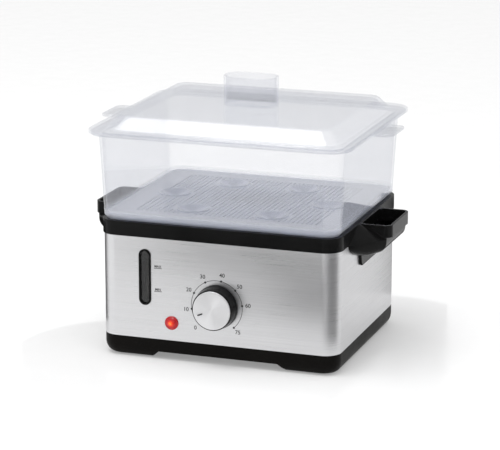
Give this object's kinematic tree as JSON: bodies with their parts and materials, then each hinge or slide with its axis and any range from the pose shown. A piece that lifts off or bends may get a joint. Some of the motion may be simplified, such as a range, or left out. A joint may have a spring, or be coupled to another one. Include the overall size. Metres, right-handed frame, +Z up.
{
  "type": "egg cooker",
  "caption": "Rectangular table-top egg and food steamer: steel-wrapped water base with timer knob, level window, pilot lamp and filler handles, clear basket, perforated egg tray and lid.",
  "frame": {"origin": "centre of the footprint, on the table under the feet", "axes": "+X to the right along the front panel, +Y to the back, +Z up; the timer knob faces -Y"},
  "size_m": [0.282, 0.2121, 0.245],
  "materials": {
    "black_plastic": "glossy moulded black, satin on the base",
    "tank_plastic": "matt moulded charcoal",
    "clear_plastic": "clear moulded plastic, slightly frosted",
    "tray_plastic": "milky textured plastic",
    "smoked_plastic": "smoked window",
    "red_lens": "faceted red lens",
    "brushed_steel": "brushed lengthwise",
    "zinc_steel": "plain bright steel",
    "knob_metal": "spun radial brushing",
    "rubber": "matt",
    "silicone": "matt silicone",
    "cream_plastic": "plain moulded",
    "wire_insulation": "sleeved wire"
  },
  "bodies": {
    "base": {"base_tub": "black_plastic", "foot_pads": "rubber", "base_screws": "zinc_steel", "steel_wrap": "brushed_steel", "top_collar": "black_plastic", "handle_right": "black_plastic", "handle_left": "black_plastic", "water_tank": "tank_plastic", "heater_gasket": "silicone", "heater_plate": "zinc_steel", "heater_element": "zinc_steel", "heater_bracket": "zinc_steel", "heater_nuts": "zinc_steel", "thermostat": "cream_plastic", "thermal_fuse": "cream_plastic", "terminal_block": "cream_plastic", "inner_wiring": "wire_insulation", "cord_gland": "black_plastic", "window_bezel": "black_plastic", "window_lens": "smoked_plastic", "level_tube": "clear_plastic", "lamp_lens": "red_lens", "lamp_holder": "cream_plastic", "timer_case": "cream_plastic", "timer_bell": "zinc_steel", "timer_screws": "zinc_steel"},
    "sleeve": {"steam_sleeve": "tank_plastic"},
    "drip_tray": {"drip_tray": "tray_plastic"},
    "basket": {"basket": "clear_plastic"},
    "egg_tray": {"egg_tray": "tray_plastic"},
    "lid": {"lid": "clear_plastic", "lid_grip": "clear_plastic"},
    "float": {"level_float": "tank_plastic"},
    "knob": {"timer_spindle": "zinc_steel", "knob": "black_plastic", "knob_cap": "knob_metal", "knob_pointer": "black_plastic"}
  },
  "joints": [
    {"name": "timer_turn", "type": "hinge", "parent": "base", "child": "knob", "pos_m": [0, -0.093, 0.0544], "axis": [0, 1, 0], "range_deg": [-24.5, 250]},
    {"name": "float_rise", "type": "slide", "parent": "base", "child": "float", "axis": [0, 0, 1], "range_m": [-0.0133, 0.008]},
    {"name": "sleeve_lift", "type": "slide", "parent": "base", "child": "sleeve", "axis": [0, 0, 1], "range_m": [0, 0.025]},
    {"name": "drip_tray_lift", "type": "slide", "parent": "base", "child": "drip_tray", "axis": [0, 0, 1], "range_m": [0, 0.1]},
    {"name": "basket_lift", "type": "slide", "parent": "drip_tray", "child": "basket", "axis": [0, 0, 1], "range_m": [0, 0.1]},
    {"name": "egg_tray_lift", "type": "slide", "parent": "basket", "child": "egg_tray", "axis": [0, 0, 1], "range_m": [0, 0.055]},
    {"name": "lid_lift", "type": "slide", "parent": "basket", "child": "lid", "axis": [0, 0, 1], "range_m": [0, 0.12]}
  ]
}
